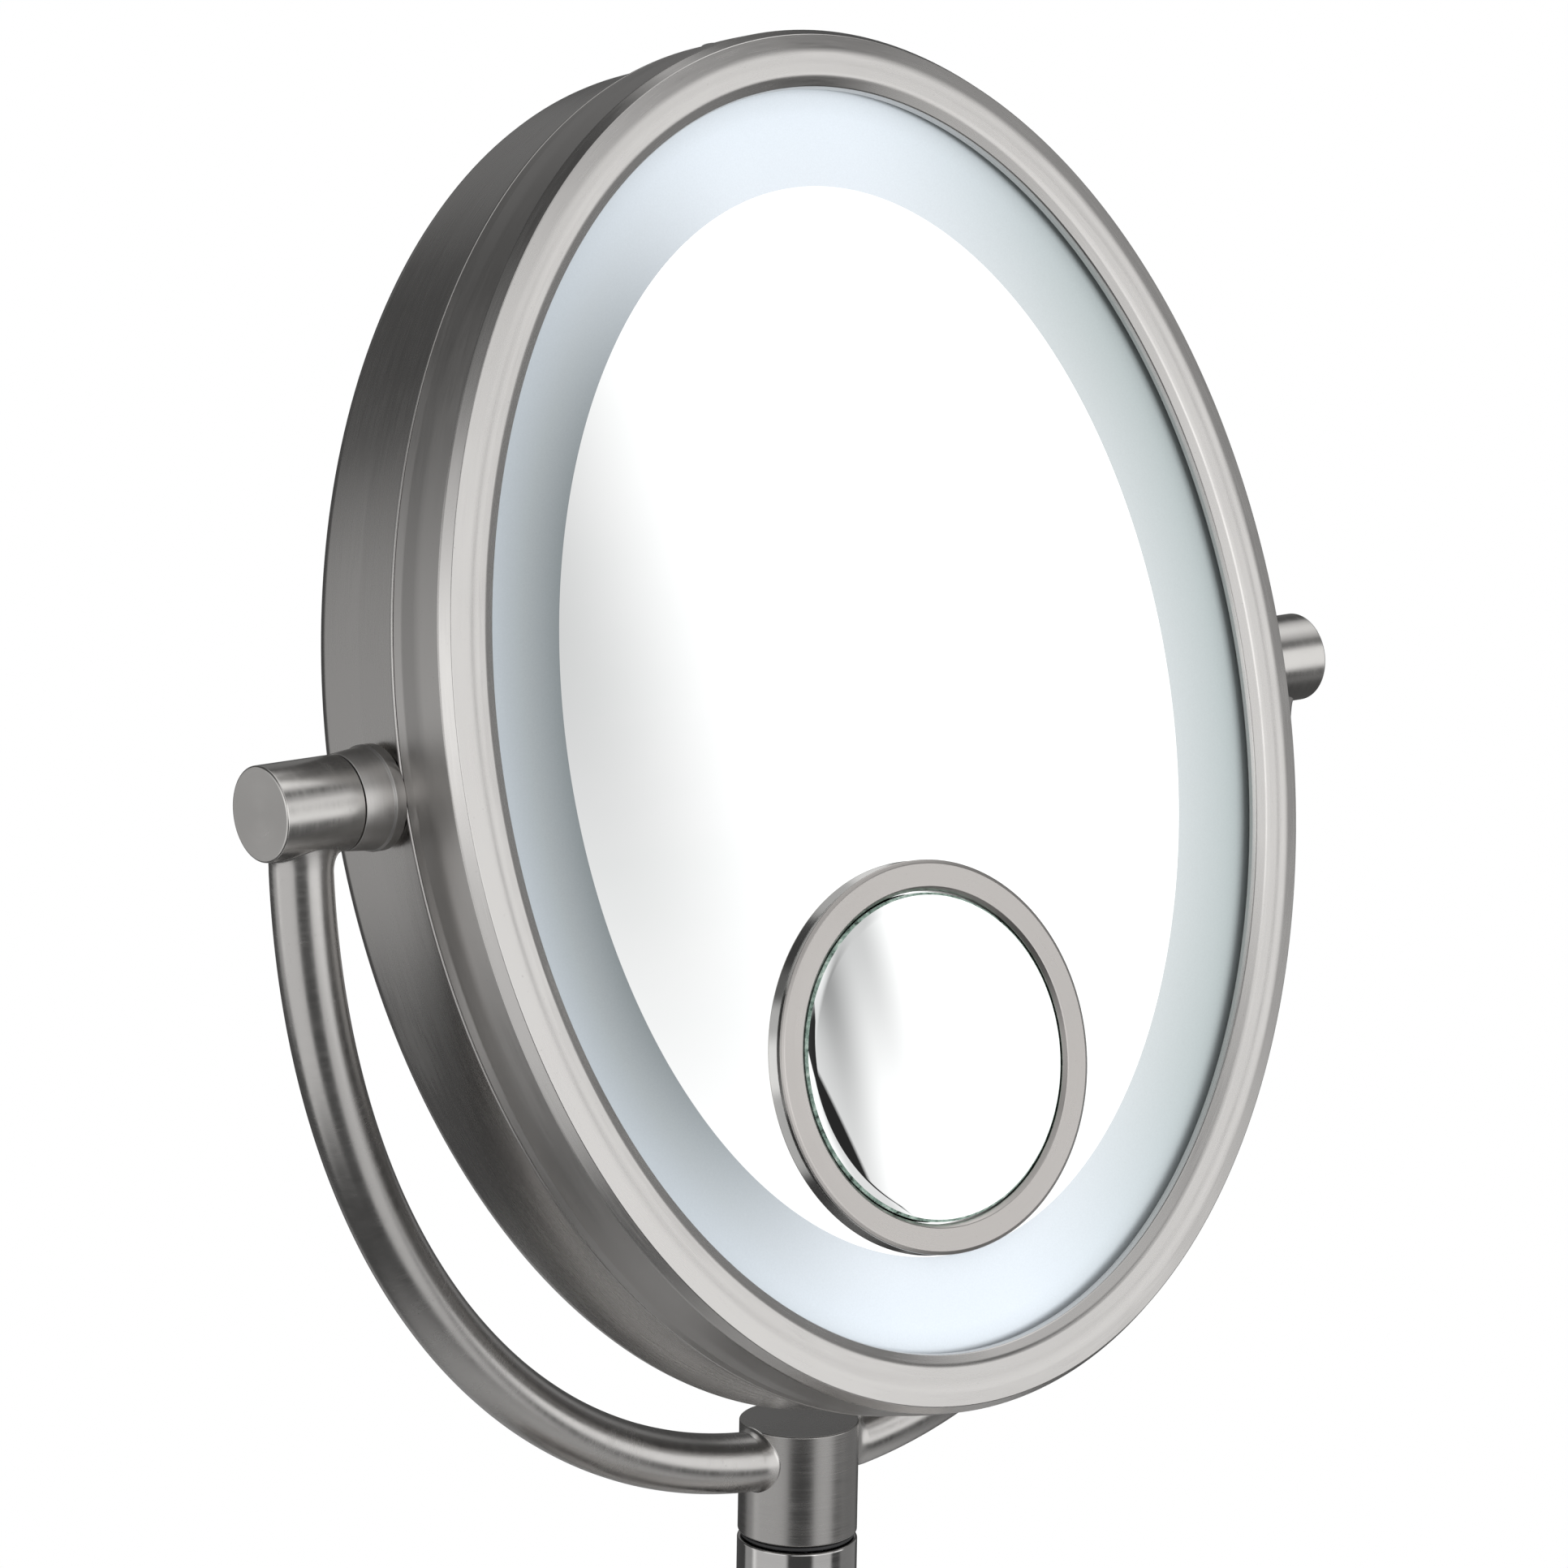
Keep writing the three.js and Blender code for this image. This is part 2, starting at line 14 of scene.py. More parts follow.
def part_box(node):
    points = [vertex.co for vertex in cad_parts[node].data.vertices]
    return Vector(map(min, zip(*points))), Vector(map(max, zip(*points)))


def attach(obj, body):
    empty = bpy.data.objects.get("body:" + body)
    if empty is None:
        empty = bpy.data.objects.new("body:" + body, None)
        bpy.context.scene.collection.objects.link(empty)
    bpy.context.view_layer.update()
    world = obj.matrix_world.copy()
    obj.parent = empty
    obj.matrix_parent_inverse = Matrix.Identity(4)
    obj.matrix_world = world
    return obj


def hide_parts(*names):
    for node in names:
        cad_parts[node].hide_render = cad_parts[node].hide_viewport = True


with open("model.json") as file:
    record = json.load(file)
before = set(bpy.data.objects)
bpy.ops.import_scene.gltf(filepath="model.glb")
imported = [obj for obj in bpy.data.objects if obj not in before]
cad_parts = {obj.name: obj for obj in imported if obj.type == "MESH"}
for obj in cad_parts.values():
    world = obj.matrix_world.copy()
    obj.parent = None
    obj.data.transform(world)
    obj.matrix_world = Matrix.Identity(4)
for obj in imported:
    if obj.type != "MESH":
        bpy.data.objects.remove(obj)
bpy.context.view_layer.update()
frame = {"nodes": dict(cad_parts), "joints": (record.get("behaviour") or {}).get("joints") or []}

MM = 0.001
TURN = 2 * math.pi
# segments round a turned piece, the spot mirror and the oval pieces
ROUND = 96
SPOT_ROUND = 160
OVAL = 288

# ---- what the frame says ------------------------------------------------------------------

joints = {joint["name"]: joint for joint in frame["joints"]}
AXIS = Vector(joints["head_tilt"]["pos_m"])


def glass_normal():
    """The way the main glass faces: the normal of its largest front facet."""
    faces = frame["nodes"]["mirror_glass"].data.polygons
    facing = [face for face in faces if face.normal.y < -0.5]
    return max(facing, key=lambda face: face.area).normal.copy()


TILT = math.atan2(glass_normal().z, -glass_normal().y)
HEAD = Matrix.Translation(AXIS) @ Matrix.Rotation(-TILT, 4, "X")
UPRIGHT = HEAD.inverted()


class Span:
    """A CAD node's box in the upright head frame: x, depth and u, each (lowest, highest)."""

    def __init__(self, node):
        points = [UPRIGHT @ vertex.co for vertex in frame["nodes"][node].data.vertices]
        self.x = (min(p.x for p in points), max(p.x for p in points))
        self.depth = (min(-p.y for p in points), max(-p.y for p in points))
        self.u = (min(p.z for p in points), max(p.z for p in points))


bezel = Span("front_bezel")
drum = Span("rear_drum")
cover = Span("rear_cover")
glass = Span("mirror_glass")
gasket = Span("glass_gasket")
backing = Span("mirror_backing")
spot = Span("spot_frame")
spot_disc = Span("spot_glass")
HALF_WIDTH = bezel.x[1]
HALF_HEIGHT = bezel.u[1]

# ---- materials ----------------------------------------------------------------------------


class Nodes:
    """A short way to build a node tree."""

    def __init__(self, tree):
        self.tree = tree

    def node(self, kind, **values):
        made = self.tree.nodes.new(kind)
        for key, value in values.items():
            setattr(made, key, value)
        return made

    def link(self, source, target):
        self.tree.links.new(source, target)

    def put(self, target, value):
        if isinstance(value, bpy.types.NodeSocket):
            self.link(value, target)
        else:
            target.default_value = value

    def math(self, operation, first, second=0.0, third=0.0):
        node = self.node("ShaderNodeMath", operation=operation)
        for socket, value in zip(node.inputs, (first, second, third)):
            self.put(socket, value)
        return node.outputs[0]

    def ranged(self, value, low, high, new_low, new_high, kind="LINEAR"):
        node = self.node("ShaderNodeMapRange", interpolation_type=kind)
        self.link(value, node.inputs["Value"])
        limits = {"From Min": low, "From Max": high, "To Min": new_low, "To Max": new_high}
        for key, number in limits.items():
            node.inputs[key].default_value = number
        return node.outputs[0]


# in brushed metal: noise scales, the coarse lines' share of the fine ones' density, line depth
SMUDGES = 38.0
SPECKS = 1400.0
COARSE_LINES = 0.22
BRUSH_DEPTH = 0.02 * MM


class Shader(Nodes):
    """A node material round one Principled shader."""

    def __init__(self, name):
        self.material = bpy.data.materials.new(name)
        self.material.use_nodes = True
        super().__init__(self.material.node_tree)
        self.bsdf = self.tree.nodes["Principled BSDF"]

    def attribute(self, name):
        return self.node("ShaderNodeAttribute", attribute_name=name)

    def stretched(self, vector, scale):
        node = self.node("ShaderNodeMapping")
        self.link(vector, node.inputs["Vector"])
        node.inputs["Scale"].default_value = scale
        return node.outputs[0]

    def noise(self, vector, scale, detail=3.0, roughness=0.55):
        node = self.node("ShaderNodeTexNoise")
        self.link(vector, node.inputs["Vector"])
        node.inputs["Scale"].default_value = scale
        node.inputs["Detail"].default_value = detail
        node.inputs["Roughness"].default_value = roughness
        return node.outputs["Fac"]

    def ramp(self, value, stops):
        node = self.node("ShaderNodeValToRGB")
        self.link(value, node.inputs["Fac"])
        elements = node.color_ramp.elements
        while len(elements) < len(stops):
            elements.new(0.5)
        for element, (place, colour) in zip(elements, stops):
            element.position = place
            element.color = (*colour, 1)
        return node.outputs["Color"]

    def blended(self, factor, first, second, mode="MIX"):
        node = self.node("ShaderNodeMix", data_type="RGBA", blend_type=mode)
        self.put(node.inputs["Factor"], factor)
        self.put(node.inputs[6], first)
        self.put(node.inputs[7], second)
        return node.outputs[2]

    def bump(self, height, strength, distance):
        node = self.node("ShaderNodeBump")
        self.link(height, node.inputs["Height"])
        node.inputs["Strength"].default_value = strength
        node.inputs["Distance"].default_value = distance
        self.link(node.outputs[0], self.bsdf.inputs["Normal"])

    def set(self, **values):
        for key, value in values.items():
            self.put(self.bsdf.inputs[key.replace("_", " ")], value)


def grey(value):
    return (value, value, value)


def tinted(colour, factor):
    return tuple(channel * factor for channel in colour)


def brushed_metal(name, colour, roughness, streak=0.06, anisotropic=0.5, lines=2600.0, depth=0.4):
    """Plated metal with fine brush lines along the piece's "grain" and a few soft smudges."""
    shader = Shader(name)
    grain = shader.attribute("grain").outputs["Vector"]
    place = shader.node("ShaderNodeTexCoord").outputs["Object"]
    fine = shader.noise(shader.stretched(grain, (1, 1, lines)), 1.0, 2.0)
    coarse = shader.noise(shader.stretched(grain, (0.5, 0.5, lines * COARSE_LINES)), 1.0, 4.0)
    cloud = shader.noise(place, SMUDGES, 4.0)
    speck = shader.noise(place, SPECKS, 1.0)
    lines_mix = shader.math("MULTIPLY_ADD", coarse, 0.5, shader.math("MULTIPLY", fine, 0.5))
    shade = shader.ranged(lines_mix, 0.3, 0.7, 1 - streak, 1 + streak)
    mottled = shader.math("MULTIPLY", shade, shader.ranged(cloud, 0.3, 0.7, 0.985, 1.015))
    base = shader.blended(1.0, (*colour, 1), shader.ramp(
        shader.ranged(mottled, 0.8, 1.2, 0, 1), [(0, grey(0.8)), (1, grey(1.0))],
    ), "MULTIPLY")
    dotted = shader.blended(shader.ranged(speck, 0.74, 0.8, 0, 0.5), base, (*tinted(colour, 0.7), 1))
    shader.set(Base_Color=dotted, Metallic=1.0, Anisotropic=anisotropic)
    rough = shader.math("ADD", shader.ranged(lines_mix, 0.3, 0.7, roughness - 0.05, roughness + 0.05),
                        shader.ranged(cloud, 0.35, 0.7, -0.025, 0.035))
    shader.set(Roughness=rough)
    tangent = shader.node("ShaderNodeTangent", direction_type="UV_MAP", uv_map="brush")
    shader.link(tangent.outputs[0], shader.bsdf.inputs["Tangent"])
    shader.bump(lines_mix, depth, BRUSH_DEPTH)
    return shader.material


def moulded(name, colour, roughness, grain_size=900.0, specks=0.0, bump=0.25):
    """Plastic, rubber or paint with a fine surface grain and slight colour variation."""
    shader = Shader(name)
    place = shader.node("ShaderNodeTexCoord").outputs["Object"]
    fine = shader.noise(place, grain_size, 3.0)
    cloud = shader.noise(place, 24.0, 4.0)
    base = shader.ramp(cloud, [(0.3, tinted(colour, 0.92)), (0.7, tinted(colour, 1.06))])
    if specks:
        base = shader.blended(shader.ranged(fine, 0.62, 0.7, 0, specks), base, (*tinted(colour, 0.4), 1))
    rough = shader.ranged(fine, 0.3, 0.7, roughness - 0.06, roughness + 0.06)
    shader.set(Base_Color=base, Roughness=rough)
    shader.bump(fine, bump, 0.1 * MM)
    return shader.material


def silvered_glass(name):
    """A clean mirror, with the faint film and wiping marks that any glass keeps."""
    shader = Shader(name)
    place = shader.node("ShaderNodeTexCoord").outputs["Object"]
    film = shader.noise(shader.stretched(place, (1, 1, 2.5)), 22.0, 5.0)
    colour = shader.ramp(film, [(0.35, (0.955, 0.968, 0.966)), (0.7, (0.975, 0.982, 0.982))])
    shader.set(Base_Color=colour, Metallic=1.0, Roughness=shader.ranged(film, 0.4, 0.75, 0.0, 0.02))
    return shader.material


def frosted_glass(name):
    """The sand-blasted band, with painted light and shade in its colour. "band" runs from 0 at its inner edge
    to 1 under the bezel, and "lean" from -1 at the left end of the oval to 1 at the right."""
    shader = Shader(name)
    place = shader.node("ShaderNodeTexCoord").outputs["Object"]
    band = shader.attribute("band").outputs["Fac"]
    lean = shader.attribute("lean").outputs["Fac"]
    sand = shader.noise(place, 2600.0, 2.0)
    cloud = shader.noise(place, 30.0, 3.0)
    # The ramps paint light and shade into the band. The middle darkens towards the bezel as painted shade
    # under its lip, the left holds a painted dark reflection at the inner edge, and the right darkens towards
    # the bezel as painted shade.
    middle = shader.ramp(band, [
        (0.0, (0.70, 0.75, 0.80)), (0.5, (0.72, 0.78, 0.84)),
        (0.88, (0.62, 0.67, 0.71)), (1.0, (0.5, 0.54, 0.56)),
    ])
    left = shader.ramp(band, [
        (0.0, (0.20, 0.225, 0.235)), (0.3, (0.32, 0.35, 0.365)),
        (0.9, (0.57, 0.63, 0.69)), (1.0, (0.45, 0.49, 0.52)),
    ])
    right = shader.ramp(band, [
        (0.0, (0.56, 0.60, 0.61)), (0.5, (0.44, 0.49, 0.495)),
        (0.85, (0.34, 0.38, 0.385)), (1.0, (0.20, 0.22, 0.222)),
    ])
    # lean blends the painted light and shade of the left and right sides into the middle's tone.
    painted_light_wash = shader.blended(shader.ranged(lean, -0.15, -0.95, 0, 1, "SMOOTHSTEP"), middle, left)
    painted_light_wash = shader.blended(shader.ranged(lean, 0.1, 0.85, 0, 1, "SMOOTHSTEP"), painted_light_wash, right)
    grainy = shader.blended(0.06, painted_light_wash, shader.ramp(sand, [(0.3, grey(0.3)), (0.7, grey(1.0))]), "MULTIPLY")
    shader.set(Base_Color=grainy, IOR=1.35)
    shader.set(Roughness=shader.ranged(cloud, 0.3, 0.7, 0.42, 0.5))
    shader.bump(sand, 0.12, 0.05 * MM)
    return shader.material


def ground_edge(name):
    """The greenish ground and slightly chipped edge of the small glass."""
    shader = Shader(name)
    place = shader.node("ShaderNodeTexCoord").outputs["Object"]
    chips = shader.noise(place, 520.0, 5.0, 0.7)
    colour = shader.ramp(chips, [
        (0.34, (0.02, 0.03, 0.025)), (0.42, (0.16, 0.24, 0.2)),
        (0.55, (0.34, 0.46, 0.40)), (0.66, (0.62, 0.7, 0.64)),
    ])
    shader.set(Base_Color=colour, Roughness=shader.ranged(chips, 0.3, 0.7, 0.5, 0.25))
    shader.bump(chips, 0.6, 0.2 * MM)
    return shader.material


SATIN = brushed_metal("satin_nickel", (0.60, 0.585, 0.57), 0.26, streak=0.035, lines=4200.0, depth=0.15)
FACE = brushed_metal("bezel_nickel", (0.64, 0.625, 0.61), 0.25, streak=0.03, lines=5200.0, depth=0.05)
BARREL = brushed_metal("barrel_nickel", (0.66, 0.645, 0.625), 0.22, streak=0.04, lines=1800.0, depth=0.2)
SKIRT = brushed_metal("skirt_nickel", (0.60, 0.585, 0.57), 0.36, streak=0.035, lines=4200.0, depth=0.12)
TUBE = brushed_metal("yoke_nickel", (0.61, 0.595, 0.58), 0.24, streak=0.03, lines=1600.0, depth=0.04)
# the hub's nickel is painted darker than the rest, as painted shade from the head above it
SHADED_HUB = brushed_metal("hub_nickel_painted_shade", (0.41, 0.40, 0.39), 0.25, streak=0.06)
SPOT_METAL = brushed_metal("spot_nickel", (0.58, 0.555, 0.535), 0.3, streak=0.04, lines=1800.0)
TURNED = brushed_metal("turned_nickel", (0.62, 0.605, 0.59), 0.3, streak=0.1, lines=2400.0, depth=0.25)
POLISHED = brushed_metal("polished_nickel", (0.56, 0.55, 0.54), 0.09, streak=0.05, anisotropic=0.2)
SCREW = brushed_metal("zinc_steel", (0.66, 0.66, 0.65), 0.3, streak=0.1, lines=1200.0)
MIRROR = silvered_glass("silvered_glass")
FROST = frosted_glass("frosted_band")
GROUND = ground_edge("ground_glass_edge")
RUBBER = moulded("black_rubber", (0.03, 0.03, 0.032), 0.75)
NYLON = moulded("black_nylon", (0.02, 0.02, 0.021), 0.5)
PLASTIC = moulded("dark_plastic", (0.035, 0.036, 0.038), 0.42)
CAST = moulded("cast_iron", (0.06, 0.06, 0.062), 0.7, 400.0, bump=0.8)
PAINT = moulded("white_paint", (0.85, 0.85, 0.84), 0.45)
BOARD = moulded("white_solder_mask", (0.8, 0.82, 0.79), 0.35, specks=0.4)
OPAL = moulded("opal_acrylic", (0.82, 0.86, 0.9), 0.4)
ZINC = moulded("zinc_plate", (0.5, 0.51, 0.52), 0.35, 1200.0)
ZINC.node_tree.nodes["Principled BSDF"].inputs["Metallic"].default_value = 1.0

# ---- shapes -------------------------------------------------------------------------------


def rounded(corners, closed=False, steps=6):
    """A polyline of (a, b) points from (a, b, radius) corners, with each corner as an arc."""
    points = []
    count = len(corners)
    for i, (a, b, radius) in enumerate(corners):
        at = Vector((a, b))
        if radius <= 0 or (not closed and i in (0, count - 1)):
            points.append(at)
            continue
        before = Vector(corners[i - 1][:2]) - at
        after = Vector(corners[(i + 1) % count][:2]) - at
        half = before.angle(after) / 2
        reach = min(radius / math.tan(half), before.length * 0.49, after.length * 0.49)
        arc = reach * math.tan(half)
        centre = at + (before.normalized() + after.normalized()).normalized() * (arc / math.sin(half))
        start = at + before.normalized() * reach - centre
        sweep = start.angle_signed(at + after.normalized() * reach - centre)
        for step in range(steps + 1):
            points.append(centre + Matrix.Rotation(-sweep * step / steps, 2) @ start)
    return [(point.x, point.y) for point in points]


def oval(angle, offset):
    """A point (x, u) of the head's outline, moved outward by an offset."""
    normal = Vector((HALF_HEIGHT * math.cos(angle), HALF_WIDTH * math.sin(angle))).normalized()
    return Vector((HALF_WIDTH * math.cos(angle), HALF_HEIGHT * math.sin(angle))) + normal * offset


def circle(angle, radius):
    return Vector((radius * math.cos(angle), radius * math.sin(angle)))


def swept(name, outline, profile, closed, place, material, turns=ROUND, streak=4.0):
    """Carries a profile of (offset, height) points round an outline.

    outline(angle, offset) gives (x, y), and height is z, before place moves it. "grain" holds
    coordinates that run slowly round the piece and fast across it, and the UV map "brush" runs
    round it, so that brush lines and their sheen follow the turning.
    """
    count = len(profile)
    lengths = [0.0]
    for (a, b), (c, d) in zip(profile, profile[1:] + profile[:1]):
        lengths.append(lengths[-1] + math.hypot(c - a, d - b))
    vertices = []
    grain = []
    for turn in range(turns):
        angle = turn / turns * TURN
        for j, (offset, height) in enumerate(profile):
            point = outline(angle, offset)
            vertices.append(place @ Vector((point.x, point.y, height)))
            grain.append((streak * math.cos(angle), streak * math.sin(angle), lengths[j]))
    faces = []
    loops = []
    around = (outline(0, profile[0][0]).length or 0.01) * TURN
    last = count if closed else count - 1
    for turn in range(turns):
        here, there = turn * count, (turn + 1) % turns * count
        for j in range(last):
            k = (j + 1) % count
            faces.append((here + j, there + j, there + k, here + k))
            low, high = turn / turns * around, (turn + 1) / turns * around
            loops.append((
                (low, lengths[j]), (high, lengths[j]), (high, lengths[j + 1]), (low, lengths[j + 1]),
            ))
    return finished(name, vertices, faces, loops, grain, material)


def finished(name, vertices, faces, loops, grain, material):
    """A mesh object with its brush UV map, its grain, smooth shading and outward normals."""
    mesh = bpy.data.meshes.new(name)
    mesh.from_pydata(vertices, [], faces)
    layer = mesh.uv_layers.new(name="brush")
    flat = [corner for face in loops for corner in face]
    for item, corner in zip(layer.data, flat):
        item.uv = corner
    store = mesh.attributes.new("grain", "FLOAT_VECTOR", "POINT")
    for item, value in zip(store.data, grain):
        item.vector = value
    mesh.materials.append(material)
    piece = bpy.data.objects.new(name, mesh)
    bpy.context.scene.collection.objects.link(piece)
    cleaned(mesh)
    return piece


def cleaned(mesh):
    """Joins coincident points, such as a pole's, and turns all faces outward."""
    work = bmesh.new()
    work.from_mesh(mesh)
    bmesh.ops.remove_doubles(work, verts=work.verts, dist=1e-7)
    bmesh.ops.recalc_face_normals(work, faces=work.faces)
    for face in work.faces:
        face.smooth = True
    work.to_mesh(mesh)
    work.free()
    mesh.update()


def crisp(piece, degrees=38):
    """Keeps edges sharp where the surface turns by more than an angle, and smooth elsewhere."""
    mesh = piece.data
    mesh.set_sharp_from_angle(angle=math.radians(degrees))
    modifier = piece.modifiers.new("weighted normals", "WEIGHTED_NORMAL")
    modifier.keep_sharp = True
    return piece


def second_material(piece, material, place, chosen):
    """Another material for the faces where chosen(distance from the axis, height) holds."""
    piece.data.materials.append(material)
    upright = place.inverted()
    for polygon in piece.data.polygons:
        middle = upright @ polygon.center
        if chosen(middle.xy.length, middle.z):
            polygon.material_index = 1


def placed(piece, body, node):
    """Ties a finished piece to its body, in the place of a CAD node, which it hides."""
    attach(piece, body)
    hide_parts(node)


def turned_size(node):
    """A CAD node's radius about the vertical, and its lowest and highest z."""
    low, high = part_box(node)
    return (high.x - low.x) / 2, low.z, high.z


FACING = HEAD @ Matrix.Rotation(math.pi / 2, 4, "X")


def along_x(side, z):
    """Turns a piece made along +Z so that it points outward along X, at a height."""
    return Matrix.Translation((0, 0, z)) @ Matrix.Rotation(side * math.pi / 2, 4, "Y")


# ---- head ---------------------------------------------------------------------------------


def head_shell():
    """The front shell: inner slope, crowned face, rolled outer edge and skirt, in one sheet."""
    face, seam = bezel.depth[1], bezel.depth[0]
    width = 12.6 * MM
    wall = 1.0 * MM
    lip = face - 3.8 * MM
    corners = [
        # skirt, from the seam to the rolled edge
        (-wall, seam, 0.2 * MM), (0, seam, 0.25 * MM), (-0.22 * MM, seam + 2.6 * MM, 6 * MM),
        (-0.04 * MM, seam + 8 * MM, 30 * MM), (-0.4 * MM, face - 3.2 * MM, 1.6 * MM),
        # crowned face and inner slope
        (-1.75 * MM, face - 0.75 * MM, 0.4 * MM), (-6.3 * MM, face + 0.03 * MM, 12 * MM),
        (-10.1 * MM, face - 0.5 * MM, 3.5 * MM), (-12.3 * MM, face - 1.75 * MM, 0.7 * MM),
        (-width, face - 2.6 * MM, 0.35 * MM), (-width, lip, 0.3 * MM),
        # underside
        (-width + 1.2 * MM, lip, 0.3 * MM), (-9 * MM, face - 1.9 * MM, 0.8 * MM),
        (-2 * MM, face - 2.2 * MM, 0.8 * MM), (-wall, face - 3.6 * MM, 0.6 * MM),
    ]
    profile = rounded(corners, closed=True, steps=10)
    shell = swept("bezel_shell", oval, profile, True, FACING, FACE, OVAL, 16.0)
    skirt_top = face - 3.4 * MM
    second_material(shell, SKIRT, FACING, lambda _, depth: depth < skirt_top)
    placed(crisp(shell), "head", "front_bezel")


def head_drum():
    """The drum: its wall, a crimped lip at the seam, the rounded rear edge and the rear flange."""
    back = drum.depth[0]
    outer = drum.x[1] - HALF_WIDTH
    wall = 1.2 * MM
    flange = -15 * MM
    seam = bezel.depth[0]
    front = drum.depth[1]
    corners = [
        (outer - wall, front, 0.3 * MM), (outer, front, 0.3 * MM), (outer, seam - 0.3 * MM, 0.1 * MM),
        (0, seam - 0.3 * MM, 0.35 * MM), (0, seam - 1.1 * MM, 0.3 * MM), (outer, seam - 1.6 * MM, 0.4 * MM),
        (outer - 0.1 * MM, seam - 14 * MM, 30 * MM), (outer, back, 5.2 * MM),
        (flange, back, 0.4 * MM), (flange, back + wall, 0.4 * MM), (outer - wall, back + wall, 3.2 * MM),
    ]
    profile = rounded(corners, closed=True, steps=10)
    shell = swept("drum_shell", oval, profile, True, FACING, SATIN, OVAL, 16.0)
    placed(crisp(shell), "head", "rear_drum")


def domed_cover():
    """The slightly domed rear cover with a pressed step round its rim."""
    back, front = cover.depth
    radius = cover.u[1]
    shrink = cover.x[1] / radius
    rise = front - back

    def narrowed_circle(angle, reach):
        return Vector((reach * shrink * math.cos(angle), reach * math.sin(angle)))

    corners = [
        (0, front - 1.6 * MM, 0), (radius - 6 * MM, front, 2 * MM), (radius, front, 0.3 * MM),
        (radius, front - 0.9 * MM, 0.5 * MM), (radius - 7.8 * MM, front - 1.4 * MM, 1.5 * MM),
        (radius - 10.8 * MM, front - 2.2 * MM, 2.5 * MM),
        (radius * 0.6, front - rise * 0.86, 60 * MM), (0, back, 0),
    ]
    profile = rounded(corners, steps=10)
    plate = swept("domed_cover", narrowed_circle, profile, False, FACING, SATIN, OVAL, 5.0)
    placed(crisp(plate), "head", "rear_cover")


def main_glass():
    """One oval plate: clear mirror in the middle, a frosted band round it, ground edges.

    "band" and "lean" are what the frosted glass material reads to place its painted light and shade.
    """
    a, b = backing.x[1], backing.u[1]
    rim = glass.x[1] - HALF_WIDTH
    back, front = glass.depth
    clear = (0.0, 0.15, 0.3, 0.45, 0.6, 0.72, 0.82, 0.9, 0.955, 0.985, 1.0)
    steps = 14
    vertices = []
    band = []
    lean = []
    for turn in range(OVAL):
        angle = turn / OVAL * TURN
        inner = Vector((a * math.cos(angle), b * math.sin(angle)))
        outer = oval(angle, rim)
        row = [(inner * share, front, 0.0) for share in clear]
        row += [(inner.lerp(outer, s / steps), front, s / steps) for s in range(1, steps + 1)]
        row += [(outer, front - 0.3 * MM, 1.0), (outer, back, 1.0), (Vector((0, 0)), back, 1.0)]
        for point, depth, share in row:
            vertices.append(FACING @ Vector((point.x, point.y, depth)))
            band.append(share)
            lean.append(math.cos(angle))
    count = len(clear) + steps + 3
    faces = []
    kinds = []
    for turn in range(OVAL):
        here, there = turn * count, (turn + 1) % OVAL * count
        for j in range(count - 1):
            faces.append((here + j, there + j, there + j + 1, here + j + 1))
            kinds.append(0 if j < len(clear) - 1 else 1 if j < len(clear) + steps - 1 else 2)
    mesh = bpy.data.meshes.new("main_glass")
    mesh.from_pydata(vertices, [], faces)
    for material in (MIRROR, FROST, GROUND):
        mesh.materials.append(material)
    for face, kind in zip(mesh.polygons, kinds):
        face.material_index = kind
    for key, values in (("band", band), ("lean", lean)):
        store = mesh.attributes.new(key, "FLOAT", "POINT")
        for item, value in zip(store.data, values):
            item.value = value
    piece = bpy.data.objects.new("main_glass", mesh)
    bpy.context.scene.collection.objects.link(piece)
    cleaned(mesh)
    placed(crisp(piece), "head", "mirror_glass")


def gasket_shade_ring():
    """The rubber ring that holds the glass. Its black also stands in for the shade under the bezel's lip,
    where it is seen as a dark line inside the face.
    """
    back, front = gasket.depth
    inner, outer = -11.2 * MM, -5 * MM
    corners = [
        (inner, back, 0.3 * MM), (outer, back, 0.3 * MM), (outer, front, 0.3 * MM),
        (inner, front, 0.4 * MM),
    ]
    ring = swept("gasket_shade_ring", oval, rounded(corners, True), True, FACING, RUBBER, OVAL)
    placed(ring, "head", "glass_gasket")


def spot_mirror():
    """A thin turned frame with rounded shoulders, and its glass with a ground edge."""
    place = FACING @ Matrix.Translation((sum(spot.x) / 2, sum(spot.u) / 2, 0))
    radius = (spot.x[1] - spot.x[0]) / 2
    disc = (spot_disc.x[1] - spot_disc.x[0]) / 2
    opening = disc + 0.4 * MM
    back, face = spot.depth[0] - 0.25 * MM, spot.depth[1]
    corners = [
        (opening, back, 0), (radius - 0.8 * MM, back, 0.1 * MM), (radius, face - 0.45 * MM, 0.3 * MM),
        (radius - 0.9 * MM, face, 0.8 * MM), (opening + 0.8 * MM, face - 0.12 * MM, 0.5 * MM),
        (opening, face - 1.0 * MM, 0.3 * MM),
    ]
    ring = swept("spot_ring", circle, rounded(corners, True, 8), True, place, SPOT_METAL, SPOT_ROUND, 3.0)
    wall, shoulder = radius - 1.1 * MM, face - 0.7 * MM
    second_material(ring, POLISHED, place, lambda reach, depth: reach > wall and depth < shoulder)
    placed(crisp(ring), "head", "spot_frame")
    bottom, top = spot_disc.depth
    bevel = 0.5 * MM
    bulge = 0.8 * MM
    domed = [(disc * t, top - bulge * t * t) for t in (step / 40 for step in range(39))]
    edge = [(disc - bevel, top - bulge), (disc, top - bulge - bevel), (disc, bottom), (0, bottom)]
    plate = swept("spot_plate", circle, domed + edge, False, place, MIRROR, SPOT_ROUND)
    second_material(plate, GROUND, place, lambda reach, _: reach > disc - bevel)
    placed(crisp(plate), "head", "spot_glass")


